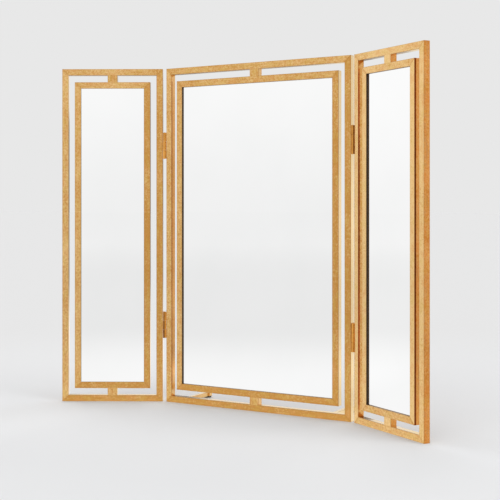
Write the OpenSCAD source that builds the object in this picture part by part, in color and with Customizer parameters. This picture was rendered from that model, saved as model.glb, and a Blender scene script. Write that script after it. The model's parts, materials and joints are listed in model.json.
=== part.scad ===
// Folding dressing table mirror: a centre panel and two wings on vertical butt hinges.
// Each panel is a double frame of square gilt bar. The inner frame holds the mirror, and
// two small bridge blocks join it to the outer frame across an open gap.
// +Z is up and the mirrors face -Y. The origin is the middle of the underside of the
// centre panel's bottom rail, on the table top. The wings stand folded forward.

/* [Panels] */
// Height of all three panels
panel_h = 650; // [450:10:900]
// Width of the centre panel over its outer frame
centre_w = 398; // [300:1:600]
// Gap left between the two wings when both lie shut over the centre panel
wing_meet_gap = 4; // [3:0.5:12]
// Angle that each wing stands folded forward, from flat
fold_angle = 30; // [0:1:60]
// Gap between a wing's front face and the centre panel's when the wing is shut
closed_gap = 1; // [0.6:0.1:3]

/* [Frame bars] */
// Width of a bar's front face
bar_w = 12.4; // [11:0.1:18]
// Depth of a bar from front to back
bar_d = 12.4; // [11.8:0.1:18]
// Chamfer along the long edges of a bar
bar_chamfer = 0.5; // [0.2:0.1:0.8]
// Open gap between the outer and the inner frame at the sides
side_gap = 12.2; // [8:0.1:30]
// Open gap between the outer and the inner frame at the top and the bottom
end_gap = 13.2; // [8:0.1:30]
// Width of the bridge blocks between the two frames
bridge_w = 19; // [12:0.5:40]

/* [Mirror and backing] */
// Thickness of the lip in front of the glass
lip_t = 2.2; // [1.5:0.1:2.5]
// Width of the rebate behind the lip, which takes the edge of the glass
rebate_w = 6; // [4:0.5:7]
// Thickness of the black strip between the lip and the glass
gasket_t = 1.1; // [0.8:0.1:1.3]
// Thickness of the mirror glass
glass_t = 4; // [3:0.5:5]
// Thickness of the backing board
board_t = 4; // [3:0.5:5]
// Play between the rebate and the edges of the strips, the glass and the board
rebate_clear = 0.5; // [0.3:0.1:1]
// Length left off each strip where it meets the next at a corner
strip_joint = 0.3; // [0.2:0.1:1]

/* [Backing clips] */
// Clips on each upright inner bar
stile_clips = 3; // [2:1:6]
// Clips on each level inner bar of the centre panel
centre_rail_clips = 2; // [2:1:4]
// Distance of the end clips from the ends of the inner bar
clip_end = 70; // [40:5:140]
// Width of a clip
clip_w = 12; // [8:1:20]
// Thickness of a clip's sheet
clip_t = 1; // [0.6:0.1:1.5]
// Reach of a clip over the backing board
clip_reach = 8; // [5:0.5:14]
// Distance of a clip from the outer edge of the inner bar
clip_edge = 0.6; // [0.4:0.1:1]
// Shank diameter of a clip screw
clip_screw_d = 2.4; // [2:0.1:3]
// Length of a clip screw below its head
clip_screw_len = 7; // [5:0.5:9]
// Head diameter of a clip screw
clip_head_d = 4.6; // [4:0.1:5]
// Head height of a clip screw
clip_head_h = 1.4; // [1:0.1:2]

/* [Hinges] */
// Length of a hinge
hinge_len = 50.8; // [38:0.1:76]
// Distance of the hinges from the top and the bottom of the panels
hinge_inset = 124.6; // [60:0.1:180]
// Diameter of the hinge barrel
barrel_d = 6.8; // [6:0.1:9]
// Gap between the barrel and the bars beside it
barrel_clear = 0.3; // [0.2:0.05:0.8]
// Number of knuckles in a hinge
knuckles = 3; // [3:2:7]
// Gap between one knuckle and the next
knuckle_gap = 0.3; // [0.2:0.05:0.6]
// Diameter of the hinge pin
pin_d = 3; // [2:0.1:3.4]
// Radial clearance of the pin in its knuckles
pin_clear = 0.05; // [0.02:0.01:0.08]
// Length of pin that stands out of each end of the barrel
pin_proud = 0.6; // [0.4:0.1:2]
// Thickness of a hinge leaf
leaf_t = 1.6; // [1.2:0.1:1.9]
// Distance of a leaf's back edge from the back of the bar
leaf_margin = 1.2; // [0.6:0.1:2]
// Screws in each leaf
leaf_screws = 3; // [2:1:4]
// Distance of the end screws from the ends of the leaf
leaf_screw_end = 8; // [5:0.5:12]
// Shank diameter of a hinge screw
hinge_screw_d = 2.8; // [2.2:0.1:3.4]
// Head diameter of a hinge screw, flush in the leaf
hinge_head_d = 4.8; // [4.4:0.1:5.2]
// Length of a hinge screw with its head
hinge_screw_len = 9; // [6:0.5:10]

/* [Rear feet] */
// Width of a foot bar
foot_w = 8; // [6:0.5:12]
// Height of a foot bar
foot_h = 8; // [6:0.5:9]
// Height of the foot bars above the table
foot_lift = 2.6; // [1.5:0.1:4]
// Distance of a foot's middle from the side edge of the centre panel
foot_inset = 41.7; // [25:0.1:100]
// Reach of the feet behind the front of the frame
foot_reach = 90; // [60:1:140]
// Width of the block at a foot's end
foot_block_w = 13.8; // [12:0.1:20]
// Length of the block at a foot's end
foot_block_len = 9; // [6:0.5:16]
// Chamfer along the edges of a foot
foot_chamfer = 0.4; // [0.2:0.1:0.8]
// Distance of the rubber pad from the edges of the block above it
pad_margin = 1; // [0.6:0.1:2]
// Diameter of the stud that fastens a foot to the frame
stud_d = 4; // [3:0.1:5]
// Length of stud in the frame, and in the foot
stud_depth = 8; // [5:0.5:9]

/* [Fasteners] */
// Radial clearance round screws and studs
screw_clear = 0.05; // [0.02:0.01:0.1]
// Room left beyond the end of a screw or a stud
blind_clear = 0.3; // [0.2:0.1:1]
// Width and depth of the slot in a screw head
slot_size = 0.6; // [0.4:0.1:0.8]
// Distance that a cut runs past the surface it opens
cut_past = 1; // [0.5:0.1:2]

/* [Hidden] */
PANELS = ["centre", "left_wing", "right_wing"];
SIDES = ["left", "right"];
LEVELS = ["lower", "upper"];
PANEL_PIECES = [
    "outer_rail_top", "outer_rail_bottom", "outer_stile_left", "outer_stile_right",
    "inner_rail_top", "inner_rail_bottom", "inner_stile_left", "inner_stile_right",
    "bridge_blocks", "mirror_glass", "glass_gasket", "backing_board",
    "backing_clips", "clip_screws"
];
$fn = 48;

// Turns that bring a bar drawn for the bottom of a frame to each of its four sides
at_bottom = 0;
at_top = 180;
at_left = 90;
at_right = -90;

// The wings meet over the centre, and the hinge barrels fill the gaps beside it
wing_w = (centre_w - wing_meet_gap) / 2;
panel_gap = barrel_d + 2 * barrel_clear;
pivot_x = (centre_w + panel_gap) / 2;
pivot_y = -(bar_d + closed_gap) / 2;

// The inner frame
inner_h = panel_h - 2 * (bar_w + end_gap);
web_w = bar_w - rebate_w;

// Depths behind the front face of a panel
glass_front = lip_t + gasket_t;
board_front = glass_front + glass_t;
board_back = board_front + board_t;

// The hinge, seen from its own axis
leaf_in = panel_gap / 2 - leaf_t;
leaf_back = closed_gap / 2 + bar_d - leaf_margin;
leaf_screw_y = closed_gap / 2 + bar_d / 2;
notch_r = barrel_d / 2 + barrel_clear;
notch_y = sqrt(notch_r * notch_r - leaf_in * leaf_in);
knuckle_h = (hinge_len - (knuckles - 1) * knuckle_gap) / knuckles;
hinge_head_h = (hinge_head_d - hinge_screw_d) / 2;

// The rear feet
foot_x = centre_w / 2 - foot_inset;
stud_z = foot_lift + foot_h / 2;

gilt = [0.80, 0.60, 0.33];
brass = [0.72, 0.52, 0.25];
steel = [0.72, 0.72, 0.74];
black = [0.10, 0.09, 0.08];

function panel_w(panel) = panel == "centre" ? centre_w : wing_w;
function inner_w(panel) = panel_w(panel) - 2 * (bar_w + side_gap);
function rail_clips(panel) = panel == "centre" ? centre_rail_clips : 1;
function hinge_base(level) = level == "lower" ? hinge_inset : panel_h - hinge_inset - hinge_len;
function side_sign(side) = side == "left" ? -1 : 1;

// Places along a line, with the end ones a set distance in from its ends
function spread(length, end, count) = count == 1 ? [0] :
    [for (i = [0 : count - 1]) (length - 2 * end) * (i / (count - 1) - 0.5)];

// Every side of an inner frame: its turn, its distance out, its length and its clips
function inner_sides(panel) = [
    [at_bottom, inner_h / 2, inner_w(panel), rail_clips(panel)],
    [at_top, inner_h / 2, inner_w(panel), rail_clips(panel)],
    [at_left, inner_w(panel) / 2, inner_h, stile_clips],
    [at_right, inner_w(panel) / 2, inner_h, stile_clips]
];

// Stands a panel in its place. A panel is drawn with its front face on Y = 0.
module placed(panel) {
    if (panel == "centre")
        translate([0, -bar_d / 2, 0]) children();
    else {
        outward = panel == "left_wing" ? -1 : 1;
        translate([outward * pivot_x, pivot_y, 0])
            rotate([0, 0, -outward * fold_angle])
                translate([outward * (panel_gap + wing_w) / 2, closed_gap / 2, 0])
                    children();
    }
}

// Brings a bar to one side of a frame. A bar is drawn along X, its outer edge on Y = 0
// and its front face on Z = 0, and far is the frame's half size on that side.
module on_side(turn, far) {
    translate([0, 0, panel_h / 2])
        rotate([0, turn, 0])
            translate([0, 0, -far])
                rotate([90, 0, 0])
                    mirror([0, 0, 1])
                        children();
}

// Rectangle with its corners cut off
module chamfered(w, d, cut) {
    polygon([[cut, 0], [w - cut, 0], [w, cut], [w, d - cut],
             [w - cut, d], [cut, d], [0, d - cut], [0, cut]]);
}

// Front outline of a bar that is mitred at both ends
module mitred(length, w) {
    polygon([[-length / 2, 0], [length / 2, 0], [length / 2 - w, w], [w - length / 2, w]]);
}

module mitred_bar(length) {
    intersection() {
        translate([-length / 2, 0, 0])
            rotate([90, 0, 90])
                linear_extrude(length)
                    chamfered(bar_w, bar_d, bar_chamfer);
        linear_extrude(bar_d) mitred(length, bar_w);
    }
}

module outer_rail(panel, turn) {
    color(gilt)
        on_side(turn, panel_h / 2)
            difference() {
                mitred_bar(panel_w(panel));
                if (panel == "centre" && turn == at_bottom)
                    for (x = [-foot_x, foot_x])
                        translate([x, stud_z, bar_d - stud_depth - blind_clear])
                            cylinder(h = stud_depth + blind_clear + cut_past,
                                     d = stud_d + 2 * screw_clear);
            }
}

// An upright of the outer frame, drilled for hinge screws where it carries a hinge
module outer_stile(panel, side) {
    hinged = panel == "centre" || panel != str(side, "_wing");
    color(gilt)
        on_side(side == "left" ? at_left : at_right, panel_w(panel) / 2)
            difference() {
                mitred_bar(panel_h);
                if (hinged)
                    for (level = LEVELS, x = spread(hinge_len, leaf_screw_end, leaf_screws))
                        translate([hinge_base(level) + hinge_len / 2 - panel_h / 2 + x,
                                   -cut_past, leaf_screw_y - closed_gap / 2])
                            rotate([-90, 0, 0])
                                cylinder(h = cut_past + hinge_screw_len - leaf_t + blind_clear,
                                         d = hinge_screw_d + 2 * screw_clear);
            }
}

// A bar of the inner frame, rebated behind its lip and drilled for the clip screws
module inner_bar(panel, number) {
    place = inner_sides(panel)[number];
    length = place[2];
    color(gilt)
        on_side(place[0], place[1])
            difference() {
                mitred_bar(length);
                translate([-length, web_w, lip_t])
                    cube([2 * length, bar_w, bar_d]);
                for (x = spread(length, clip_end, place[3]))
                    translate([x, web_w / 2, bar_d + clip_t - clip_screw_len - blind_clear])
                        cylinder(h = clip_screw_len - clip_t + blind_clear + cut_past,
                                 d = clip_screw_d + 2 * screw_clear);
            }
}

module bridge_blocks() {
    color(gilt)
        for (turn = [at_bottom, at_top])
            on_side(turn, panel_h / 2)
                translate([-bridge_w / 2, bar_w, 0])
                    rotate([-90, 0, 0])
                        mirror([0, 1, 0])
                            linear_extrude(end_gap)
                                chamfered(bridge_w, bar_d, bar_chamfer);
}

// A flat pane that fills the rebate of the inner frame, from one depth on
module pane(panel, front, thickness) {
    w = inner_w(panel) - 2 * (web_w + rebate_clear);
    h = inner_h - 2 * (web_w + rebate_clear);
    translate([-w / 2, front, (panel_h - h) / 2])
        cube([w, thickness, h]);
}

module mirror_glass(panel) {
    color("white") pane(panel, glass_front, glass_t);
}

module backing_board(panel) {
    color("saddlebrown") pane(panel, board_front, board_t);
}

// Four black strips between the lip and the glass, mitred and flush with the lip's edge
module glass_gasket(panel) {
    color(black)
        for (place = inner_sides(panel))
            on_side(place[0], place[1])
                translate([0, web_w + rebate_clear, lip_t])
                    linear_extrude(gasket_t)
                        mitred(place[2] - 2 * (web_w + rebate_clear) - strip_joint,
                               rebate_w - rebate_clear);
}

// Brings a clip or its screw to each of its places round the inner frame
module at_clips(panel) {
    for (place = inner_sides(panel))
        on_side(place[0], place[1])
            for (x = spread(place[2], clip_end, place[3]))
                translate([x, 0, 0]) children();
}

// A stepped tab: its heel is screwed to the inner bar and its tongue holds the board
module backing_clip() {
    step_y = web_w + rebate_clear;
    difference() {
        union() {
            translate([-clip_w / 2, clip_edge, bar_d])
                cube([clip_w, step_y + clip_t - clip_edge, clip_t]);
            translate([-clip_w / 2, step_y, board_back])
                cube([clip_w, clip_t, bar_d + clip_t - board_back]);
            translate([-clip_w / 2, step_y, board_back])
                cube([clip_w, clip_reach, clip_t]);
        }
        translate([0, web_w / 2, bar_d - cut_past])
            cylinder(h = clip_t + 2 * cut_past, d = clip_screw_d + 2 * screw_clear);
    }
}

module clip_screw() {
    translate([0, web_w / 2, bar_d + clip_t])
        difference() {
            union() {
                translate([0, 0, -clip_screw_len])
                    cylinder(h = clip_screw_len + clip_head_h / 2, d = clip_screw_d);
                cylinder(h = clip_head_h, d1 = clip_head_d, d2 = 0.6 * clip_head_d);
            }
            translate([-clip_head_d, -slot_size / 2, clip_head_h - slot_size])
                cube([2 * clip_head_d, slot_size, slot_size + cut_past]);
        }
}

module backing_clips(panel) {
    color(steel) at_clips(panel) backing_clip();
}

module clip_screws(panel) {
    color(steel) at_clips(panel) clip_screw();
}

// Brings a hinge part to its axis. It is drawn for the leaf that lies towards +X.
module at_hinge(side, level, on_wing) {
    translate([side_sign(side) * pivot_x, pivot_y, hinge_base(level)])
        rotate([0, 0, on_wing ? -side_sign(side) * fold_angle : 0])
            if ((side == "left") != on_wing)
                children();
            else
                mirror([1, 0, 0]) children();
}

// Brings a screw to each of its places in a leaf, pointing into the bar
module at_leaf_screws() {
    for (z = spread(hinge_len, leaf_screw_end, leaf_screws))
        translate([leaf_in, leaf_screw_y, hinge_len / 2 + z])
            rotate([0, 90, 0])
                children();
}

module hinge_screw_shape(clear) {
    cylinder(h = hinge_screw_len, d = hinge_screw_d + 2 * clear);
    cylinder(h = hinge_head_h, r1 = hinge_head_d / 2 + clear, r2 = hinge_screw_d / 2 + clear);
}

// A leaf with its knuckles: the frame's leaf has the end knuckles, the wing's the others
module hinge_leaf(first_knuckle) {
    difference() {
        union() {
            translate([leaf_in, notch_y, 0])
                cube([leaf_t, leaf_back - notch_y, hinge_len]);
            for (k = [first_knuckle : 2 : knuckles - 1])
                translate([0, 0, k * (knuckle_h + knuckle_gap)]) {
                    cylinder(h = knuckle_h, d = barrel_d);
                    translate([leaf_in, 0, 0]) cube([leaf_t, leaf_back, knuckle_h]);
                }
        }
        translate([0, 0, -cut_past])
            cylinder(h = hinge_len + 2 * cut_past, d = pin_d + 2 * pin_clear);
        at_leaf_screws() hinge_screw_shape(screw_clear);
    }
}

module frame_leaf(side, level) {
    color(brass) at_hinge(side, level, false) hinge_leaf(0);
}

module wing_leaf(side, level) {
    color(brass) at_hinge(side, level, true) hinge_leaf(1);
}

module hinge_pins(side) {
    tip = pin_proud / 2;
    color(brass)
        for (level = LEVELS)
            translate([side_sign(side) * pivot_x, pivot_y, hinge_base(level) - pin_proud])
                rotate_extrude()
                    polygon([[0, 0], [pin_d / 2 - tip, 0], [pin_d / 2, tip],
                             [pin_d / 2, hinge_len + 2 * pin_proud - tip],
                             [pin_d / 2 - tip, hinge_len + 2 * pin_proud],
                             [0, hinge_len + 2 * pin_proud]]);
}

module hinge_screw() {
    difference() {
        hinge_screw_shape(0);
        translate([-hinge_head_d, -slot_size / 2, -cut_past])
            cube([2 * hinge_head_d, slot_size, cut_past + slot_size]);
    }
}

// The screws of every leaf on one panel
module hinge_screws(panel) {
    on_wing = panel != "centre";
    sides = on_wing ? [panel == "left_wing" ? "left" : "right"] : SIDES;
    color(brass)
        for (side = sides, level = LEVELS)
            at_hinge(side, level, on_wing)
                at_leaf_screws() hinge_screw();
}

// A bar behind the frame with a wider block at its end, which stops the mirror tipping back
module rear_foot(side) {
    foot_len = foot_reach - bar_d;
    color(gilt)
        translate([side_sign(side) * foot_x, bar_d / 2, foot_lift])
            difference() {
                union() {
                    translate([-foot_w / 2, foot_len, 0])
                        rotate([90, 0, 0])
                            linear_extrude(foot_len)
                                chamfered(foot_w, foot_h, foot_chamfer);
                    translate([-foot_block_w / 2, foot_len, 0])
                        rotate([90, 0, 0])
                            linear_extrude(foot_block_len)
                                chamfered(foot_block_w, foot_h, foot_chamfer);
                }
                translate([0, -cut_past, foot_h / 2])
                    rotate([-90, 0, 0])
                        cylinder(h = cut_past + stud_depth + blind_clear,
                                 d = stud_d + 2 * screw_clear);
            }
}

module rear_foot_pads() {
    pad_w = foot_block_w - 2 * pad_margin;
    pad_len = foot_block_len - 2 * pad_margin;
    color(black)
        for (side = SIDES)
            translate([side_sign(side) * foot_x - pad_w / 2,
                       foot_reach - bar_d / 2 - foot_block_len + pad_margin, 0])
                cube([pad_w, pad_len, foot_lift]);
}

module rear_foot_studs() {
    color(steel)
        for (side = SIDES)
            translate([side_sign(side) * foot_x, bar_d / 2 - stud_depth, stud_z])
                rotate([-90, 0, 0])
                    cylinder(h = 2 * stud_depth, d = stud_d);
}

for (panel = PANELS) {
    placed(panel) outer_rail(panel, at_top);
    placed(panel) outer_rail(panel, at_bottom);
    placed(panel) outer_stile(panel, "left");
    placed(panel) outer_stile(panel, "right");
    placed(panel) inner_bar(panel, 0);
    placed(panel) inner_bar(panel, 1);
    placed(panel) inner_bar(panel, 2);
    placed(panel) inner_bar(panel, 3);
    placed(panel) bridge_blocks();
    placed(panel) mirror_glass(panel);
    placed(panel) glass_gasket(panel);
    placed(panel) backing_board(panel);
    placed(panel) backing_clips(panel);
    placed(panel) clip_screws(panel);
    hinge_screws(panel);
}
for (side = SIDES) {
    for (level = LEVELS) {
        frame_leaf(side, level);
        wing_leaf(side, level);
    }
    hinge_pins(side);
    rear_foot(side);
}
rear_foot_pads();
rear_foot_studs();
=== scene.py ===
import json
import math

import bmesh
import bpy
import numpy as np
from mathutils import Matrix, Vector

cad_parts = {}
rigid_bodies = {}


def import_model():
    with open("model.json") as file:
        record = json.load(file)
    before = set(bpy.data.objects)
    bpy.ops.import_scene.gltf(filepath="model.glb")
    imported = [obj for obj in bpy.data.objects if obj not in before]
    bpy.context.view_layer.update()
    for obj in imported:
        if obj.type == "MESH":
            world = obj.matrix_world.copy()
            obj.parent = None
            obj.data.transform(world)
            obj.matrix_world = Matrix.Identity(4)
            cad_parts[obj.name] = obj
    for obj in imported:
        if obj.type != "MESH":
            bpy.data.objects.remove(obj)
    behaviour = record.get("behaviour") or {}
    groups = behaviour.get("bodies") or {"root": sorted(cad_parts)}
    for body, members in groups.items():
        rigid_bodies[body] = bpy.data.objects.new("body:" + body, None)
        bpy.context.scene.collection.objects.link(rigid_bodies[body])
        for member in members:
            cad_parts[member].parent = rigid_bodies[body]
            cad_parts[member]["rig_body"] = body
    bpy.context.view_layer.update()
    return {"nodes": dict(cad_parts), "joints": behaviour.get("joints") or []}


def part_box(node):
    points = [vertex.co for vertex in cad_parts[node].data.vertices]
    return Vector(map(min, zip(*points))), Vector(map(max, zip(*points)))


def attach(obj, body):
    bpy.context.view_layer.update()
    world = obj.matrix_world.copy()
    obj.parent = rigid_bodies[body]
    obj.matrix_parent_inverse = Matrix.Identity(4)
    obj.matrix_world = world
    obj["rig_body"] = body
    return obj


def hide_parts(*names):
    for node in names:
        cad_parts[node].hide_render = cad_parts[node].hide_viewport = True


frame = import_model()
nodes = frame["nodes"]
mm = 0.001
print("frame loaded,", len(nodes), "nodes")


def onScreen(red, green, blue):
    # a colour as it reads on a screen, from 0 to 255, in the linear values that shaders take
    levels = [level / 255 for level in (red, green, blue)]
    return tuple(v / 12.92 if v <= 0.04045 else ((v + 0.055) / 1.055) ** 2.4 for v in levels) + (1.0,)


class Wire:
    # a value on a node's socket, so that sums of values are written as sums
    def __init__(self, sheet, socket):
        self.sheet = sheet
        self.socket = socket

    def __add__(self, other):
        return self.sheet.maths("ADD", self, other)

    def __radd__(self, other):
        return self.sheet.maths("ADD", other, self)

    def __sub__(self, other):
        return self.sheet.maths("SUBTRACT", self, other)

    def __rsub__(self, other):
        return self.sheet.maths("SUBTRACT", other, self)

    def __mul__(self, other):
        return self.sheet.maths("MULTIPLY", self, other)

    def __rmul__(self, other):
        return self.sheet.maths("MULTIPLY", other, self)

    def __truediv__(self, other):
        return self.sheet.maths("DIVIDE", self, other)

    def __lt__(self, other):
        return self.sheet.maths("LESS_THAN", self, other)

    def __gt__(self, other):
        return self.sheet.maths("GREATER_THAN", self, other)


class NodeSheet:
    # the nodes of one material, or of the world
    def __init__(self, owner):
        owner.use_nodes = True
        self.tree = owner.node_tree
        self.tree.nodes.clear()

    def node(self, kind, settings={}, inputs={}, output=0):
        made = self.tree.nodes.new("ShaderNode" + kind)
        for name, value in settings.items():
            setattr(made, name, value)
        for name, value in inputs.items():
            if isinstance(value, Wire):
                self.tree.links.new(value.socket, made.inputs[name])
            else:
                made.inputs[name].default_value = value
        return Wire(self, made.outputs[output]) if made.outputs else None

    def maths(self, operation, first, second=0.0):
        return self.node("Math", {"operation": operation}, {0: first, 1: second})

    def blend(self, share, first, second, way="MIX"):
        # goes from the first colour to the second as share goes from 0 to 1
        settings = {"data_type": "RGBA", "blend_type": way, "clamp_factor": True}
        return self.node("Mix", settings, {0: share, 6: first, 7: second}, 2)

    def rise(self, value, low, high, lowTo=0.0, highTo=1.0):
        # runs smoothly from lowTo to highTo while the value goes from low to high
        settings = {"interpolation_type": "SMOOTHSTEP"}
        return self.node("MapRange", settings, {0: value, 1: low, 2: high, 3: lowTo, 4: highTo})

    def noise(self, place, scale, detail=2.0, roughness=0.5):
        inputs = {"Vector": place, "Scale": scale, "Detail": detail, "Roughness": roughness}
        return self.node("TexNoise", {}, inputs)

    def stretch(self, place, factors):
        return self.node("VectorMath", {"operation": "MULTIPLY"}, {0: place, 1: factors})

    def part(self, place, axis):
        return self.node("SeparateXYZ", {}, {0: place}, axis)

    def bump(self, height, strength, distance):
        return self.node("Bump", {}, {"Height": height, "Strength": strength, "Distance": distance})

    def surface(self, sockets):
        shader = self.node("BsdfPrincipled", {}, sockets)
        self.node("OutputMaterial", {}, {"Surface": shader})


def newSheet(name):
    material = bpy.data.materials.new(name)
    return material, NodeSheet(material)


gilding = {
    "pale": (0.880, 0.590, 0.262, 1.0),    # thick fresh leaf
    "deep": (0.590, 0.290, 0.068, 1.0),    # thin leaf, toned by the red ground
    "rosy": (0.735, 0.360, 0.120, 1.0),
    "olive": (0.700, 0.475, 0.120, 1.0),
    "sheen": (0.950, 0.770, 0.450, 1.0),   # painted sheen, at a glancing view
    "flank": (0.970, 0.740, 0.550, 1.0),   # painted shade: multiplies the leaf on the sides of a bar, darker and redder
    "ground": (0.270, 0.105, 0.035, 1.0),  # red-brown ground, bare on worn edges and in joints
    # painted shade on the wall beside the glass
    "sightWall": (0.110, 0.056, 0.017, 1.0),
    "clay": (0.320, 0.070, 0.006),         # painted shade, dark red, on the walls of the gap near the front
    "clayShare": 0.62,
    "clayDepth": (2.2 * mm, 4.6 * mm),     # it fades out over these depths from the front face
    "clayUneven": 1.5 * mm,
    "clayFromJoint": (7.5 * mm, 10.5 * mm),    # on outer bars it begins this far from a joint
    "railFlank": 0.35,                     # how much of the flanks' painted shade the rails and the feet take
    "leafLength": 84 * mm,
    "lapWidth": 0.7 * mm,
    "jointReach": 5 * mm,                  # how far the painted shade runs from a mitred joint
    "jointDeeper": 0.22,
    "groundWhereWorn": 0.55,
    "groundInJoints": 0.28,
    "roughness": 0.21,
    "toneMiddle": 0.40,
    # how strongly each pattern makes the leaf paler or deeper
    "patterns": {"cloud": 0.75, "mottle": 1.9, "rubbed": 0.9, "leaf": 0.2, "speckle": 1.7, "lap": 0.2},
    # Ramps: where each one starts and ends, then what it runs from and to. The first two follow
    # the hue noise, the third the rubbing, and the others the view, from straight on to glancing.
    # Painted light: the fourth and the last two ramps paint a sheen at glancing views, the third, fifth and
    # sixth paint shade on the sides.
    "rosyAt": (0.50, 0.68, 0.0, 0.40),
    "oliveAt": (0.50, 0.34, 0.0, 0.28),
    "thinAt": (0.46, 0.66, 0.0, 0.45),
    "palerAt": (0.18, 0.42, 0.0, 0.62),
    "flankTonedAt": (0.40, 0.56, 1.0, 0.1),
    "flankBareAt": (0.40, 0.56, 1.0, 0.0),
    "sheenAt": (0.46, 0.60, 0.0, 0.75),
    "sheenEndsAt": (0.80, 0.93, 1.0, 0.2),
    # painted light and shade: how much paler or deeper the leaf is painted on each side of a frame
    "sideTone": {"left": 0.12, "top": 0.04, "right": -0.32, "bottom": -0.40},
    "rightWingSideTone": {"left": 0.0, "top": -0.25, "right": 0.0, "bottom": -0.52},
    # on two stiles of the right wing, against all others: the flank's painted shade, how much painted
    # shade shows on the gap's wall, and how much lighter or darker that shade is
    "rightWingWalls": {"outer_left": (0.2, 1.35, 0.55), "inner_right": (1.0, 1.6, -0.25)},
}


def giltMaterial():
    # gold leaf on a red ground: leaf squares laid end to end along each bar and rubbed back
    # painted light and shade in the colour: a sheen at glancing views, shade on the sides, in the gaps, near
    # joints and on the wall beside the glass
    material, sheet = newSheet("gilt_leaf")
    look = gilding
    place = sheet.node("Attribute", {"attribute_name": "grain"}, {}, "Vector")
    edges = sheet.node("Attribute", {"attribute_name": "edges"}, {}, "Vector")
    face = sheet.node("Attribute", {"attribute_name": "face"}, {}, "Vector")
    flank, sightWall, sideTone = (sheet.part(face, axis) for axis in range(3))
    gap = sheet.node("Attribute", {"attribute_name": "gap"}, {}, "Vector")
    outerWall, innerWall, gapShadeLight = (sheet.part(gap, axis) for axis in range(3))
    along, depth = sheet.part(place, 0), sheet.part(place, 2)
    cloud = sheet.noise(place, 22, 2)
    hue = sheet.noise(sheet.stretch(place, (0.5, 1, 1)), 95, 2)
    mottle = sheet.noise(place, 210, 3, 0.6)
    speckle = sheet.noise(place, 520, 2)
    rubbed = sheet.noise(sheet.stretch(place, (0.06, 1, 1)), 420, 3, 0.55)
    leafCount = along / look["leafLength"] + 0.35 * sheet.noise(place, 60, 1)
    leafNumber = sheet.maths("FLOOR", leafCount)
    leafTone = sheet.node("TexWhiteNoise", {"noise_dimensions": "1D"}, {"W": leafNumber})
    lap = sheet.maths("FRACT", leafCount) < look["lapWidth"] / look["leafLength"]
    glancing = sheet.node("LayerWeight", {}, {"Blend": 0.5}, "Facing")
    weight = look["patterns"]
    tone = look["toneMiddle"] + weight["cloud"] * (cloud - 0.5) + weight["mottle"] * (mottle - 0.5)
    tone = tone + weight["rubbed"] * (rubbed - 0.5) + weight["leaf"] * (leafTone - 0.5)
    tone = tone + weight["speckle"] * (speckle - 0.5) - weight["lap"] * lap
    # painted light and shade: each side of a frame lighter or darker, and the leaf paler towards glancing
    # views as a sheen
    tone = tone + sideTone + sheet.rise(glancing - 0.16 * flank, *look["palerAt"])
    joint = sheet.maths("MINIMUM", sheet.part(edges, 0), sheet.part(edges, 1))
    # painted shade: the leaf darker towards each mitred joint; the joint's own dark line comes next
    shadeNearJoint = sheet.rise(joint, 0.0, look["jointReach"], 1.0, 0.0)
    jointLine = sheet.rise(joint, 0.1 * mm, 0.6 * mm, 1.0, 0.0)
    edge = sheet.part(edges, 2)
    worn = sheet.rise(edge + 0.8 * (mottle - 0.5) + 0.6 * (speckle - 0.5), 0.7, 1.2)
    colour = sheet.blend(tone - look["jointDeeper"] * shadeNearJoint, look["deep"], look["pale"])
    colour = sheet.blend(sheet.rise(hue, *look["rosyAt"]), colour, look["rosy"])
    colour = sheet.blend(sheet.rise(hue, *look["oliveAt"]), colour, look["olive"])
    # painted shade on the sides of the bars: deeper and redder, with the ground showing in a mottle, less at
    # glancing views
    toned = flank * sheet.rise(glancing, *look["flankTonedAt"])
    colour = sheet.blend(toned, colour, look["flank"], "MULTIPLY")
    flankGroundShade = flank * sheet.rise(0.5 * rubbed + 0.5 * mottle, *look["thinAt"])
    colour = sheet.blend(flankGroundShade * sheet.rise(glancing, *look["flankBareAt"]), colour, look["ground"])
    # outer bars get the painted gap shade only where an inner bar stands opposite, so not in the gap's
    # corners
    clay = outerWall * sheet.rise(joint, *look["clayFromJoint"]) + innerWall
    unevenDepth = depth + look["clayUneven"] * (mottle - 0.5)
    clay = clay * sheet.rise(unevenDepth, *look["clayDepth"], look["clayShare"], 0.0)
    colour = sheet.blend(clay, colour, sheet.stretch(look["clay"], 1 + gapShadeLight))
    # painted sheen at glancing views, less at the most glancing
    sheen = sheet.rise(glancing, *look["sheenAt"]) * sheet.rise(glancing, *look["sheenEndsAt"])
    colour = sheet.blend(sheen, colour, look["sheen"])
    bare = look["groundWhereWorn"] * worn + look["groundInJoints"] * jointLine
    colour = sheet.blend(bare, colour, look["ground"])
    # painted shade on the wall beside the glass
    colour = sheet.blend(sightWall, colour, look["sightWall"])
    height = 0.45 * mottle + 0.35 * rubbed + 0.2 * speckle - 0.12 * lap
    sheet.surface({
        "Base Color": colour,
        "Metallic": 1.0 - 0.4 * worn,
        "Roughness": look["roughness"] + 0.16 * (mottle - 0.5) + 0.15 * worn - 0.08 * flank,
        "Normal": sheet.bump(height, 0.35, 0.15 * mm),
    })
    return material


glass = {
    "clear": (0.970, 0.972, 0.971, 1.0),
    "faint": (0.952, 0.956, 0.955, 1.0),
    "roughness": 0.004,
}


def mirrorMaterial():
    # silvered glass with the faintest cloud of polish left on it
    material, sheet = newSheet("silvered_glass")
    place = sheet.node("TexCoord", {}, {}, "Object")
    cloud = sheet.noise(place, 7, 3)
    wipe = sheet.noise(sheet.stretch(place, (1, 1, 0.25)), 30, 2)
    sheet.surface({
        "Base Color": sheet.blend(sheet.rise(cloud, 0.35, 0.75), glass["clear"], glass["faint"]),
        "Metallic": 1.0,
        "Roughness": glass["roughness"] * (0.5 + wipe),
    })
    return material


strip = {
    "dark": (0.008, 0.007, 0.006, 1.0),
    "light": (0.022, 0.019, 0.016, 1.0),
}


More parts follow.
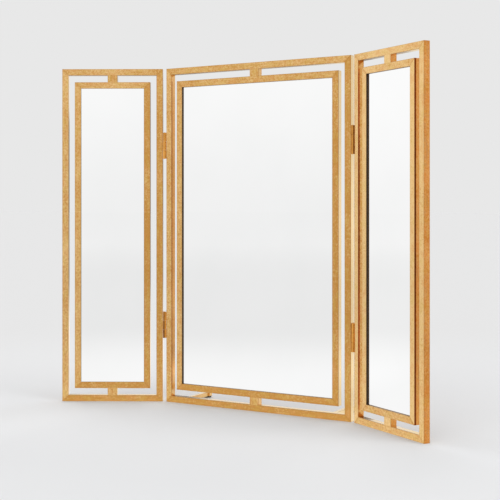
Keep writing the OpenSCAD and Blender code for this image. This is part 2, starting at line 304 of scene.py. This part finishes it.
def stripMaterial():
    # black foam strip between the lip and the glass
    material, sheet = newSheet("black_strip")
    place = sheet.node("TexCoord", {}, {}, "Object")
    cells = sheet.noise(place, 2400, 3, 0.7)
    sheet.surface({
        "Base Color": sheet.blend(cells, strip["dark"], strip["light"]),
        "Roughness": 0.75 + 0.2 * cells,
        "Normal": sheet.bump(cells, 0.3, 0.1 * mm),
    })
    return material


board = {
    "dark": (0.105, 0.050, 0.024, 1.0),
    "light": (0.215, 0.118, 0.062, 1.0),
    "weavePitch": 1.6 * mm,      # the screen that the board was pressed on
}


def boardMaterial(turn):
    # hardboard, its screen side out: a pressed-in weave over matted brown fibre
    material, sheet = newSheet("hardboard")
    place = sheet.node("TexCoord", {}, {}, "Object")
    place = sheet.node("Mapping", {}, {"Vector": place, "Rotation": (0, 0, turn)})
    across = sheet.part(place, 0) * (2 * math.pi / board["weavePitch"])
    upward = sheet.part(place, 2) * (2 * math.pi / board["weavePitch"])
    weave = 0.5 + 0.25 * sheet.maths("SINE", across) + 0.25 * sheet.maths("SINE", upward)
    fibre = sheet.noise(place, 260, 5, 0.65)
    cloud = sheet.noise(place, 9, 3)
    fleck = sheet.rise(sheet.noise(sheet.stretch(place, (1, 1, 0.3)), 700, 2), 0.62, 0.75)
    tone = 0.15 + 0.45 * fibre + 0.5 * (cloud - 0.5) + 0.22 * weave - 0.35 * fleck
    sheet.surface({
        "Base Color": sheet.blend(tone, board["dark"], board["light"]),
        "Roughness": 0.78 + 0.15 * fibre,
        "Normal": sheet.bump(0.7 * weave + 0.3 * fibre, 0.5, 0.3 * mm),
    })
    return material


plating = {
    "dull": (0.42, 0.43, 0.44, 1.0),
    "bright": (0.66, 0.67, 0.68, 1.0),
}


def steelMaterial():
    # zinc-plated steel with a soft spangle
    material, sheet = newSheet("zinc_plate")
    place = sheet.node("TexCoord", {}, {}, "Object")
    spangle = sheet.node("TexVoronoi", {}, {"Vector": place, "Scale": 420}, "Distance")
    scuff = sheet.noise(place, 900, 3, 0.6)
    tone = 0.35 + 0.5 * spangle + 0.4 * (scuff - 0.5)
    sheet.surface({
        "Base Color": sheet.blend(tone, plating["dull"], plating["bright"]),
        "Metallic": 1.0,
        "Roughness": 0.30 + 0.2 * scuff,
        "Normal": sheet.bump(scuff, 0.1, 0.05 * mm),
    })
    return material


brassLook = {
    "bright": (0.90, 0.43, 0.095, 1.0),
    "dull": (0.20, 0.062, 0.010, 1.0),
}


def brassMaterial():
    # drawn brass, handled bright, with brown tarnish in its clouds, and strong upright streaks that are draw
    # marks and painted reflection stripes
    material, sheet = newSheet("hinge_brass")
    place = sheet.node("TexCoord", {}, {}, "Object")
    tarnish = sheet.noise(place, 130, 4, 0.6)
    drawnAndReflected = sheet.noise(sheet.stretch(place, (1, 1, 0.012)), 400, 2, 0.6)
    tone = 0.42 + 0.5 * (tarnish - 0.5) + 4.2 * (drawnAndReflected - 0.5)
    sheet.surface({
        "Base Color": sheet.blend(tone, brassLook["bright"], brassLook["dull"]),
        "Metallic": 1.0,
        "Roughness": 0.14 + 0.16 * tarnish,
        "Normal": sheet.bump(drawnAndReflected, 0.12, 0.05 * mm),
    })
    return material


pad = {
    "clean": (0.018, 0.017, 0.016, 1.0),
    "dusty": (0.070, 0.066, 0.060, 1.0),
}


def rubberMaterial():
    # matt black rubber, dusty on its high spots
    material, sheet = newSheet("pad_rubber")
    place = sheet.node("TexCoord", {}, {}, "Object")
    grain = sheet.noise(place, 1300, 4, 0.6)
    dust = sheet.rise(sheet.noise(place, 120, 3), 0.45, 0.75)
    sheet.surface({
        "Base Color": sheet.blend(0.5 * dust, pad["clean"], pad["dusty"]),
        "Roughness": 0.62 + 0.25 * dust,
        "Normal": sheet.bump(grain, 0.25, 0.1 * mm),
    })
    return material


gilt = giltMaterial()
print("materials made")

# The wings stand folded forward. Every piece is worked out as if they lay flat, then turned.
folded = {"centre": 0.0, "left_wing": math.radians(30), "right_wing": math.radians(-30)}
hingeLine = {joint["child"]: joint["pos_m"] for joint in frame["joints"]}
bodyOf = {"centre": "centre_panel", "left_wing": "left_wing", "right_wing": "right_wing"}


def turned(points, panel, angle):
    # a turn about the panel's upright hinge line: x and y by cosine and sine, z kept
    if panel == "centre":
        return points
    line = hingeLine[panel]
    cosine, sine = math.cos(angle), math.sin(angle)
    x, y = points[:, 0] - line[0], points[:, 1] - line[1]
    return np.column_stack([line[0] + cosine * x - sine * y, line[1] + sine * x + cosine * y, points[:, 2]])


def flatBox(node, panel):
    # lowest and highest corner of a CAD node once its panel lies flat
    mesh = nodes[node].data
    points = np.zeros(len(mesh.vertices) * 3)
    mesh.vertices.foreach_get("co", points)
    points = turned(points.reshape(-1, 3), panel, -folded[panel])
    return points.min(0), points.max(0)


def roundedOutline(corners, arcSteps=4, support=0.25 * mm, fade=1.4 * mm):
    # Walks round a closed outline. Each corner (x, y, radius) becomes an arc that is tangent to
    # both of its sides. Each side gets two points near either end, the inner one as far in as
    # wear reaches. Gives the points, the outward normals and the wear, which is 1 on the arcs.
    points, normals, wear = [], [], []
    count = len(corners)
    starts = []
    for i, (x, y, radius) in enumerate(corners):
        here = np.array([x, y])
        before = here - np.array(corners[i - 1][:2])
        after = np.array(corners[(i + 1) % count][:2]) - here
        before, after = before / np.linalg.norm(before), after / np.linalg.norm(after)
        cross = before[0] * after[1] - before[1] * after[0]
        half = math.atan2(abs(cross), before @ after) / 2
        reach = radius * math.tan(half)
        side = 1.0 if cross > 0 else -1.0
        leftOf = np.array([-before[1], before[0]])
        centre = here - before * reach + leftOf * radius * side
        begin = math.atan2(*(-leftOf * side)[::-1])
        angles = begin + side * np.linspace(0, 2 * half, arcSteps + 1)
        outward = np.column_stack([np.cos(angles), np.sin(angles)])
        starts.append((centre + radius * outward, outward * side, 1.0 if cross > 0 else 0.0))
    for i in range(count):
        arc, outward, worn = starts[i]
        points.append(arc)
        normals.append(outward)
        wear.append(np.full(len(arc), worn))
        nextArc, nextOutward, nextWorn = starts[(i + 1) % count]
        run = nextArc[0] - arc[-1]
        length = np.linalg.norm(run)
        near, far = min(support, length / 6), min(fade, length / 3)
        steps = np.array([near, far, length - far, length - near]) / length
        points.append(arc[-1] + steps[:, None] * run)
        sideNormal = np.array([run[1], -run[0]]) / length
        normals.append(np.repeat(sideNormal[None], 4, 0))
        wear.append(np.array([0.8 * worn, 0.0, 0.0, 0.8 * nextWorn]))
    return np.concatenate(points), np.concatenate(normals), np.concatenate(wear)


sightShadeMark = 4.0                # a wear value that marks the wall beside the glass, which is painted dark as shade
farFromJoint = 20 * mm         # added to the distance from an end that isn't a joint that shows
sharpFrom = math.radians(32)


def carried(outline, length, mitre=0.0, endInset=0.12 * mm, tone=0.0, gapSide=None):
    # The outline carried along a straight line of this length. A point of the outline at
    # distance a across ends mitre times a short of each end. The last ring at each end is drawn
    # in along the outline's normals, which breaks the edge of the cut.
    points, normals, wear = outline
    drawnIn = points - normals * endInset
    share = np.array([-1, -1, -0.5, 0, 0.5, 1, 1])
    rings = len(share)
    across = np.repeat(points[None], rings, 0)
    across[0], across[-1] = drawnIn, drawnIn
    half = length / 2 - mitre * across[:, :, 0]
    back = np.array([0, endInset, 0, 0, 0, endInset, 0])
    along = share[:, None] * half - np.sign(share)[:, None] * back[:, None]
    toFirst = (half + along) / math.sqrt(1 + mitre ** 2)
    toSecond = (half - along) / math.sqrt(1 + mitre ** 2)
    grid = np.dstack([along, across])
    edges = np.dstack([toFirst, toSecond, np.repeat(wear[None], rings, 0)])
    sightShaded = np.where(wear >= sightShadeMark, 1.0, 0.0)
    # face: the sides of the bar, the wall beside the glass and the side of the frame, which carry painted
    # shade and light
    face = np.dstack([np.repeat(values[None], rings, 0) for values in
                      (np.abs(normals[:, 0]), sightShaded, np.full(len(wear), tone))])
    # gap: the walls of the gap, on outer and inner bars, that get painted shade
    gap = np.dstack([np.repeat(values[None], rings, 0) for values in
                     (np.clip(normals[:, 0], 0, gapSide == "outer"),
                      np.clip(-normals[:, 0], 0, gapSide == "inner"), 0 * wear)])
    size = len(points)
    ring, step = np.meshgrid(np.arange(rings - 1), np.arange(size), indexing="ij")
    following = (step + 1) % size
    quads = np.stack([ring * size + step, ring * size + following,
                      (ring + 1) * size + following, (ring + 1) * size + step], -1).reshape(-1, 4)
    caps = [list(range(size - 1, -1, -1)), list(range((rings - 1) * size, rings * size))]
    attributes = {"edges": edges.reshape(-1, 3), "face": face.reshape(-1, 3), "gap": gap.reshape(-1, 3)}
    return grid.reshape(-1, 3), attributes, quads.tolist() + caps


def newPiece(name, points, faces, material, body, replaces, attributes={}):
    mesh = bpy.data.meshes.new(name)
    mesh.from_pydata(points.tolist(), [], faces)
    for label, values in attributes.items():
        layer = mesh.attributes.new(label, "FLOAT_VECTOR", "POINT")
        layer.data.foreach_set("vector", np.asarray(values, np.float32).ravel())
    mesh.materials.append(material)
    mesh.calc_loop_triangles()
    corners = np.zeros(len(mesh.loop_triangles) * 3, np.int32)
    mesh.loop_triangles.foreach_get("vertices", corners)
    first, second, third = points[corners.reshape(-1, 3)].transpose(1, 0, 2)
    if np.sum(first * np.cross(second, third)) < 0:      # six times the volume, negative inside out
        mesh.flip_normals()
    mesh.shade_smooth()
    mesh.set_sharp_from_angle(angle=sharpFrom)
    piece = bpy.data.objects.new(name, mesh)
    bpy.context.scene.collection.objects.link(piece)
    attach(piece, body)
    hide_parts(*replaces)
    return piece


bars = {
    "edgeRadius": 0.45 * mm,
    "sightRadius": 0.35 * mm,     # the edge of the lip beside the glass
    "rebateRadius": 0.1 * mm,
    "lip": 2.2 * mm,
    "rebate": 6 * mm,
}

# The way along a bar, the way across it from its outer edge, and the way into its depth
barAxes = {
    "bottom": ((1, 0, 0), (0, 0, 1)),
    "top": ((-1, 0, 0), (0, 0, -1)),
    "left": ((0, 0, -1), (1, 0, 0)),
    "right": ((0, 0, 1), (-1, 0, 0)),
}
intoDepth = np.array([0, 1, 0])


def squareOutline(width, depth, radius=bars["edgeRadius"]):
    return roundedOutline([(0, 0, radius), (width, 0, radius), (width, depth, radius), (0, depth, radius)])


def innerOutline(width, depth):
    # a square bar with a rebate cut from its back, which leaves a thin lip at the front
    radius, sight = bars["edgeRadius"], bars["sightRadius"]
    lip, inside, web = bars["lip"], bars["rebateRadius"], width - bars["rebate"]
    corners = [(0, 0, radius), (width, 0, sight), (width, lip, inside), (web, lip, inside),
               (web, depth, radius), (0, depth, radius)]
    points, normals, wear = roundedOutline(corners)
    # the wall beside the glass, marked for its painted shade
    wear[(normals[:, 0] > 0.3) & (points[:, 0] > web + 0.5 * bars["rebate"])] = sightShadeMark
    return points, normals, wear


class Bar:
    # a bar's box once its panel lies flat: its middle line, its axes and its sizes
    def __init__(self, panel, kind, side):
        run = "rail" if side in ("top", "bottom") else "stile"
        self.panel = panel
        self.node = panel + "_" + kind + "_" + run + "_" + side
        low, high = flatBox(self.node, panel)
        size = high - low
        self.length, self.width = (size[0], size[2]) if run == "rail" else (size[2], size[0])
        self.depth = size[1]
        self.along, self.across = (np.array(axis, float) for axis in barAxes[side])
        self.origin = (low + high) / 2 - self.across * self.width / 2
        self.origin[1] = low[1]

    def place(self, grid, shift=0.0):
        # grid holds distances along the bar, across it and into its depth
        points = (self.origin + (grid[:, :1] + shift) * self.along + grid[:, 1:2] * self.across
                  + grid[:, 2:] * intoDepth)
        return turned(points, self.panel, folded[self.panel])


def grainAt(grid, number):
    # every piece reads its own stretch of the leaf's pattern
    return grid + np.array([number * 1.37, number * 0.61, 0])


def joined(shapes):
    # several closed shapes as the points, faces and attributes of one piece
    points, faces, attributes = [], [], {}
    for shape in shapes:
        offset = sum(len(done) for done in points)
        points.append(shape[0])
        faces += [[index + offset for index in face] for face in shape[1]]
        for label, values in (shape[2] if len(shape) > 2 else {}).items():
            attributes.setdefault(label, []).append(values)
    return np.concatenate(points), faces, {label: np.concatenate(v) for label, v in attributes.items()}


def barPiece(panel, kind, side, number):
    # one mitred bar of a frame, from its CAD node's box
    bar = Bar(panel, kind, side)
    outline = (squareOutline if kind == "outer" else innerOutline)(bar.width, bar.depth)
    # the side's painted light and shade
    tone = gilding["rightWingSideTone" if panel == "right_wing" else "sideTone"][side]
    grid, attributes, faces = carried(outline, bar.length, mitre=1.0, tone=tone, gapSide=kind)
    attributes["grain"] = grainAt(grid, number)
    if side in ("top", "bottom"):
        attributes["face"][:, 0] *= gilding["railFlank"]
        attributes["face"][:, 1] = 0               # the painted shade beside the glass is on the stiles only
    if panel == "right_wing" and kind + "_" + side in gilding["rightWingWalls"]:
        flankShare, recessShare, gapShadeLight = gilding["rightWingWalls"][kind + "_" + side]
        attributes["face"][:, 0] *= flankShare
        attributes["gap"] *= recessShare
        attributes["gap"][:, 2] = gapShadeLight
    newPiece(bar.node + "_gilded", bar.place(grid), faces, gilt, bodyOf[panel], [bar.node],
             attributes)


def bridgePiece(panel, number):
    # both bridge blocks of a panel, carried on into the rounding of the rails to meet them flush
    node = panel + "_bridge_blocks"
    low, high = flatBox(node, panel)
    outline = squareOutline(high[0] - low[0], high[1] - low[1])
    shapes = []
    for half, side in enumerate(("bottom", "top")):
        outer, inner = Bar(panel, "outer", side), Bar(panel, "inner", side)
        start = outer.origin[2] + outer.across[2] * outer.width
        gap = abs(inner.origin[2] - start)
        grid, attributes, faces = carried(outline, gap + 2 * bars["edgeRadius"], endInset=0.02 * mm)
        attributes["edges"][:, :2] += farFromJoint
        attributes["grain"] = grainAt(grid, number + 0.4 * half)
        middle = (start + inner.origin[2]) / 2
        points = np.column_stack([low[0] + grid[:, 1], low[1] + grid[:, 2], middle - grid[:, 0]])
        shapes.append((turned(points, panel, folded[panel]), faces, attributes))
    points, faces, attributes = joined(shapes)
    newPiece(node + "_gilded", points, faces, gilt, bodyOf[panel], [node], attributes)


pieceNumber = 0
for panel in folded:
    for kind in ("outer", "inner"):
        for side in barAxes:
            pieceNumber += 1
            barPiece(panel, kind, side, pieceNumber)
    pieceNumber += 1
    bridgePiece(panel, pieceNumber)
print("frames gilded,", pieceNumber, "pieces")

steel, brass, rubber = steelMaterial(), brassMaterial(), rubberMaterial()

clips = {
    "width": 12 * mm,
    "sheet": 1 * mm,
    "fromEdge": 0.6 * mm,          # heel of the clip from the bar's outer edge
    "reach": 8 * mm,               # tongue over the board
    "play": 0.5 * mm,              # between the rebate and the board
    "bendInside": 0.25 * mm,
    "bendOutside": 0.95 * mm,
    "heelRadius": 0.15 * mm,
    "tongueRadius": 0.3 * mm,
    "fromEnds": 70 * mm,
    "count": {"stile": 3, "centre": 2, "left_wing": 1, "right_wing": 1},
}


def clipPiece(panel):
    # Z-shaped spring clips: each a bent strip, its outline carried along the clip's width
    look = clips
    boardBack = flatBox(panel + "_backing_board", panel)[1][1]
    shapes = []
    for side in barAxes:
        bar = Bar(panel, "inner", side)
        back, step = bar.depth, bar.width - bars["rebate"] + look["play"]
        board = boardBack - bar.origin[1]
        sheet, inside, outside = look["sheet"], look["bendInside"], look["bendOutside"]
        heel, heelRadius = look["fromEdge"], look["heelRadius"]
        tongue, tongueRadius = step + look["reach"], look["tongueRadius"]
        outline = roundedOutline([
            (heel, back, heelRadius), (step, back, inside), (step, board, outside),
            (tongue, board, tongueRadius), (tongue, board + sheet, tongueRadius),
            (step + sheet, board + sheet, inside), (step + sheet, back + sheet, outside),
            (heel, back + sheet, heelRadius)], support=0.15 * mm)
        count = look["count"]["stile" if side in ("left", "right") else panel]
        half = bar.length / 2 - look["fromEnds"]
        places = np.linspace(-half, half, count) if count > 1 else [0.0]
        grid, _, faces = carried(outline, look["width"])
        shapes += [(bar.place(grid, place), faces) for place in places]
    points, faces, _ = joined(shapes)
    node = panel + "_backing_clips"
    newPiece(node + "_bent", points, faces, steel, bodyOf[panel], [node])


def revolved(profile, steps=28):
    # A profile of (radius, height) turned about the upright axis: x = r cos t, y = r sin t, z = h.
    # The first and the last height lie on the axis and close the shape with fans.
    angles = np.linspace(0, 2 * math.pi, steps, endpoint=False)
    rings = profile[1:-1]
    ringPoints = np.dstack([rings[:, :1] * np.cos(angles), rings[:, :1] * np.sin(angles),
                            np.repeat(rings[:, 1:], steps, 1)]).reshape(-1, 3)
    points = np.concatenate([ringPoints, [[0, 0, profile[0, 1]], [0, 0, profile[-1, 1]]]])
    ring, step = np.meshgrid(np.arange(len(rings) - 1), np.arange(steps), indexing="ij")
    following = (step + 1) % steps
    quads = np.stack([ring * steps + step, ring * steps + following,
                      (ring + 1) * steps + following, (ring + 1) * steps + step], -1).reshape(-1, 4)
    around = np.arange(steps)
    last, top = (len(rings) - 1) * steps, len(ringPoints) + 1
    bottomFan = np.column_stack([(around + 1) % steps, around, np.full(steps, len(ringPoints))])
    topFan = np.column_stack([last + around, last + (around + 1) % steps, np.full(steps, top)])
    return points, quads.tolist() + bottomFan.tolist() + topFan.tolist()


pins = {"radius": 1.5 * mm, "proud": 0.6 * mm}


def pinPiece(side):
    # both hinge pins of one side, straight with domed tips: r = R sin u, h = end + proud cos u
    look = pins
    line = hingeLine[side + "_wing"]
    turn = np.linspace(0, math.pi / 2, 7)
    shapes = []
    for level in ("lower", "upper"):
        low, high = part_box(side + "_" + level + "_hinge_frame_leaf")
        radius, rise = look["radius"] * np.sin(turn), look["proud"] * np.cos(turn)
        profile = np.concatenate([np.column_stack([radius, low[2] - rise]),
                                  np.column_stack([radius, high[2] + rise])[::-1]])
        points, faces = revolved(profile)
        shapes.append((points + np.array([line[0], line[1], 0]), faces))
    points, faces, _ = joined(shapes)
    node = side + "_hinge_pins"
    newPiece(node + "_domed", points, faces, brass, "centre_panel", [node])


feet = {
    "barWidth": 8 * mm,
    "blockLength": 9 * mm,
    "edgeRadius": 0.6 * mm,
    "endInset": 0.3 * mm,          # how far the block's ends are drawn in
    # painted light: how much paler the feet's leaf is painted
    "tone": 0.6,
}


def footPiece(side, number):
    # a gilt bar behind the frame with a wider block at its end, both carried along Y
    look = feet
    node = side + "_rear_foot"
    low, high = (np.array(corner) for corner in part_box(node))
    middle, height, radius = (low[0] + high[0]) / 2, high[2] - low[2], look["edgeRadius"]
    blockStart = high[1] - look["blockLength"]
    # width, start, end and inset of the bar, which runs into the block's rounding, and of the block
    spans = [(look["barWidth"], low[1], blockStart + radius, 0.0),
             (high[0] - low[0], blockStart, high[1], look["endInset"])]
    shapes = []
    for half, (width, start, end, endInset) in enumerate(spans):
        outline = squareOutline(width, height, radius)
        grid, attributes, faces = carried(outline, end - start, endInset=endInset, tone=look["tone"])
        attributes["edges"][:, :2] += farFromJoint
        attributes["face"][:, 0] *= gilding["railFlank"]
        attributes["grain"] = grainAt(grid, number + 0.3 * half)
        points = np.column_stack([middle - width / 2 + grid[:, 1], (start + end) / 2 - grid[:, 0],
                                  low[2] + grid[:, 2]])
        shapes.append((points, faces, attributes))
    points, faces, attributes = joined(shapes)
    newPiece(node + "_gilded", points, faces, gilt, "centre_panel", [node], attributes)


easing = {
    "mergeWithin": 0.002 * mm,
    "flatWithin": math.radians(0.5),
    "sharpFrom": math.radians(35),
}


def easedCopy(node, width, material):
    # a copy of a CAD node with its doubles merged and a small round along its sharp edges
    mesh = nodes[node].data.copy()
    work = bmesh.new()
    work.from_mesh(mesh)
    bmesh.ops.remove_doubles(work, verts=work.verts, dist=easing["mergeWithin"])
    bmesh.ops.dissolve_limit(work, angle_limit=easing["flatWithin"], verts=work.verts, edges=work.edges)
    work.to_mesh(mesh)
    work.free()
    mesh.name = node + "_eased"
    mesh.materials.clear()
    mesh.materials.append(material)
    mesh.shade_smooth()
    mesh.set_sharp_from_angle(angle=easing["sharpFrom"])
    piece = bpy.data.objects.new(node + "_eased", mesh)
    bpy.context.scene.collection.objects.link(piece)
    bevel = piece.modifiers.new("eased", "BEVEL")
    bevel.width = width
    bevel.segments = 2
    bevel.limit_method = "ANGLE"
    bevel.angle_limit = easing["sharpFrom"]
    bevel.harden_normals = True
    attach(piece, nodes[node]["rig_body"])
    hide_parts(node)


eased = {
    "_leaf": (0.18 * mm, brass, "brass"),
    "_hinge_screws": (0.08 * mm, brass, "brass"),
    "_clip_screws": (0.10 * mm, steel, "steel"),
    "_foot_studs": (0.10 * mm, steel, "steel"),
    "_foot_pads": (0.35 * mm, rubber, "pad_rubber"),
}

for panel in folded:
    clipPiece(panel)
for side in ("left", "right"):
    pinPiece(side)
    pieceNumber += 1
    footPiece(side, pieceNumber)
for name in list(nodes):
    for ending, (width, material, slot) in eased.items():
        if name.endswith(ending):
            easedCopy(name, width, material)
print("clips, hinges and feet made")


def dress(node, material):
    nodes[node].data.materials.clear()
    nodes[node].data.materials.append(material)


silvered, blackStrip = mirrorMaterial(), stripMaterial()
for panel in folded:
    dress(panel + "_mirror_glass", silvered)
    dress(panel + "_glass_gasket", blackStrip)
    dress(panel + "_backing_board", boardMaterial(-folded[panel]))
print("glass, strips and boards dressed")

cameraPlace = {
    "location": (1.0471, -1.7781, 0.3871),
    "turn": math.radians(30.79),
    "lens": 79.61,
    "sensor": 36,
    "shiftUp": -0.0931,
}

studio = {
    "backdrop": onScreen(232, 232, 232),
    "softLight": 0.684,                # the world's level for all but reflections
    "horizon": 0.902,                  # what glass and metal see of the world at the horizon
    "above": 0.972,                    # and from 7 degrees up
    "horizonBand": (-0.02, 0.12),      # heights of a direction, between which it changes
    # What reflections see more or less of in some directions: on the backdrop, up to a height, and
    # on the floor, close to the object and from 4 m away. The first patch is dim and far to the
    # left behind the object, and shows in the gaps between the bars.
    "patches": [
        {"azimuth": 331, "tightness": 10, "light": -0.62, "upTo": (0.095, 0.135), "floor": (0.40, -0.45)},
        {"azimuth": 264, "tightness": 20, "light": 0.036, "upTo": (0.9, 1.0), "floor": (0.036, 0.036)},
        {"azimuth": 31, "tightness": 10, "light": -0.10, "upTo": (0.9, 1.0), "floor": (-0.20, -0.08)},
        {"azimuth": 20, "tightness": 100, "light": 0.40, "upTo": (0.0, 0.07), "floor": (0.0, 0.42)},
        {"azimuth": 37, "tightness": 60, "light": 0.0, "upTo": (0.0, 0.1), "floor": (0.38, 0.0)},
        {"azimuth": 91, "tightness": 12, "light": 0.06, "upTo": (0.9, 1.0), "floor": (0.06, 0.06)},
    ],
    "patchReach": (0.5, 4.0),          # how far close to the object and far away are
    "floorHalf": 40.0,
    # the floor's grey close to the object, which shades it, and away from it
    "floorNear": (0.793, 0.800, 0.811, 1.0),
    "floorAway": (0.748, 0.748, 0.749, 1.0),
    "greyReach": (0.35, 1.6),
    # the floor in reflections: its level, and the painted light added close to the object and far away,
    # and a painted shadow in one spot behind the object, as ramps of the distance
    "floorSeen": 0.842,
    "floorSeenNear": (0.3, 1.35, 0.125, 0.0),
    "floorSeenFar": (3, 9, 0.0, 0.055),
    "floorSpotAt": (-0.06, 0.24, 0),
    "floorSpot": (0.10, 0.32, -0.28, 0.0),
}

# The light that the mirrors throw on the floor before them, in metres ahead of the panels and
# across to the right. The lamps, which reflections don't see, can't give it.
thrownLight = {
    "most": 0.17,                      # how much lighter the floor is right before the mirrors
    "startsAt": (-0.06, 0.015),
    "fadesFrom": 0.02,
    "reach": 0.56,
    "shorterBeyond": 0.075,            # across, past which the reach gets shorter
    "shortening": 0.45,
    "leftEnd": (-0.42, -0.24),
    "rightEnd": (0.26, 0.46),
}

# azimuth is from +Y towards +X, in degrees, as is the width of each soft lamp
lamps = {
    "key": {"azimuth": 300, "elevation": 65, "width": 40, "strength": 0.58},
    "right": {"azimuth": 88, "elevation": 40, "width": 40, "strength": 0.60},
    "front": {"azimuth": 180, "elevation": 40, "width": 40, "strength": 0.26},
    "back": {"azimuth": 0, "elevation": 40, "width": 40, "strength": 0.24},
}


def heading(azimuth, elevation):
    azimuth, elevation = math.radians(azimuth), math.radians(elevation)
    level = math.cos(elevation)
    return math.sin(azimuth) * level, math.cos(azimuth) * level, math.sin(elevation)


def reflectionOnly(sheet):
    # 1 for what a mirror or metal sees, 0 for the camera and for light off the floor
    glossyRay = sheet.node("LightPath", {}, {}, "Is Glossy Ray")
    afterDiffuse = sheet.node("LightPath", {}, {}, "Diffuse Depth") > 0.5
    return glossyRay * (1 - afterDiffuse)


def patchShape(sheet, direction, patch):
    # 1 in the middle of the patch, then the cosine from it to the power of its tightness
    inputs = {0: direction, 1: heading(patch["azimuth"], 0)}
    facing = sheet.node("VectorMath", {"operation": "DOT_PRODUCT"}, inputs, "Value")
    return sheet.maths("POWER", sheet.maths("MAXIMUM", facing, 0.0), patch["tightness"])


def makeWorld():
    world = bpy.data.worlds.new("studio")
    bpy.context.scene.world = world
    sheet = NodeSheet(world)
    direction = sheet.node("TexCoord", {}, {}, "Generated")
    height = sheet.part(direction, 2)
    seen = sheet.rise(height, *studio["horizonBand"], studio["horizon"], studio["above"])
    for patch in studio["patches"]:
        upTo = sheet.rise(height, *patch["upTo"], 1.0, 0.0)
        seen = seen + patch["light"] * upTo * patchShape(sheet, direction, patch)
    grey = sheet.node("CombineColor", {}, {0: seen, 1: seen, 2: seen})
    cameraRay = sheet.node("LightPath", {}, {}, "Is Camera Ray")
    level = studio["softLight"]
    colour = sheet.blend(cameraRay, (level, level, level, 1.0), studio["backdrop"])
    colour = sheet.blend(reflectionOnly(sheet), colour, grey)
    background = sheet.node("Background", {}, {"Color": colour, "Strength": 1.0})
    sheet.node("OutputWorld", {}, {"Surface": background})


def thrownShare(sheet, place):
    # how many times lighter a place on the floor is, by its distance ahead of the line of panels,
    # which bends forward at the hinges
    look = thrownLight
    across, ahead = sheet.part(place, 0), -1 * sheet.part(place, 1)
    hingeAt, slope = hingeLine["right_wing"][0], math.tan(folded["left_wing"])
    ahead = ahead - slope * sheet.maths("MAXIMUM", sheet.maths("ABSOLUTE", across) - hingeAt, 0.0)
    past = sheet.maths("MAXIMUM", across - look["shorterBeyond"], 0.0)
    reach = look["reach"] - look["shortening"] * past
    fading = sheet.rise(ahead, look["fadesFrom"], reach, look["most"], 0.0)
    thrown = sheet.rise(ahead, *look["startsAt"]) * fading
    return 1 + thrown * sheet.rise(across, *look["leftEnd"]) * sheet.rise(across, *look["rightEnd"], 1.0, 0.0)


def makeFloor():
    half = studio["floorHalf"]
    mesh = bpy.data.meshes.new("floor")
    corners = [(-half, -half, 0), (half, -half, 0), (half, half, 0), (-half, half, 0)]
    mesh.from_pydata(corners, [], [(0, 1, 2, 3)])
    material, sheet = newSheet("pale_floor")
    place = sheet.node("TexCoord", {}, {}, "Object")
    distance = sheet.node("VectorMath", {"operation": "LENGTH"}, {0: place}, "Value")
    direction = sheet.node("VectorMath", {"operation": "NORMALIZE"}, {0: place})
    seen = (studio["floorSeen"] + sheet.rise(distance, *studio["floorSeenNear"])
            + sheet.rise(distance, *studio["floorSeenFar"]))
    for patch in studio["patches"]:
        level = sheet.rise(distance, *studio["patchReach"], *patch["floor"])
        seen = seen + level * patchShape(sheet, direction, patch)
    # a painted shadow on the floor as reflections see it, behind the centre panel
    inputs = {0: place, 1: studio["floorSpotAt"]}
    toPaintedShadow = sheet.node("VectorMath", {"operation": "DISTANCE"}, inputs, "Value")
    seen = seen + sheet.rise(toPaintedShadow, *studio["floorSpot"])
    seenGrey = sheet.node("CombineColor", {}, {0: seen, 1: seen, 2: seen})
    away = sheet.rise(distance, *studio["greyReach"])
    grey = sheet.blend(away, studio["floorNear"], studio["floorAway"])
    lit = sheet.node("BsdfDiffuse", {}, {"Color": sheet.stretch(grey, thrownShare(sheet, place))})
    plain = sheet.node("Emission", {}, {"Color": seenGrey, "Strength": 1.0})
    shader = sheet.node("MixShader", {}, {0: reflectionOnly(sheet), 1: lit, 2: plain})
    sheet.node("OutputMaterial", {}, {"Surface": shader})
    mesh.materials.append(material)
    floor = bpy.data.objects.new("floor", mesh)
    bpy.context.scene.collection.objects.link(floor)


def makeLamp(name, look):
    lamp = bpy.data.lights.new(name, "SUN")
    lamp.energy = look["strength"]
    lamp.angle = math.radians(look["width"])
    sun = bpy.data.objects.new(name, lamp)
    x, y, z = heading(look["azimuth"], look["elevation"])
    sun.rotation_euler = (math.atan2(math.hypot(x, y), z), 0, math.atan2(x, -y))
    sun.visible_glossy = False      # reflections see the backdrop instead
    bpy.context.scene.collection.objects.link(sun)


makeWorld()
makeFloor()
for name, look in lamps.items():
    makeLamp(name, look)

# The photo's right mirror shows plain light where the left wing would be, so reflections leave it out
for piece in bpy.context.scene.objects:
    if piece.name.startswith("left_") and "rear" not in piece.name:
        piece.visible_glossy = False

camera = bpy.data.objects.new("camera", bpy.data.cameras.new("camera"))
camera.location = cameraPlace["location"]
camera.rotation_euler = (math.radians(90), 0, cameraPlace["turn"])
camera.data.lens = cameraPlace["lens"]
camera.data.sensor_width = cameraPlace["sensor"]
camera.data.shift_y = cameraPlace["shiftUp"]
bpy.context.scene.collection.objects.link(camera)
bpy.context.scene.camera = camera
bpy.context.scene.view_settings.view_transform = "Standard"
print("studio and camera set")
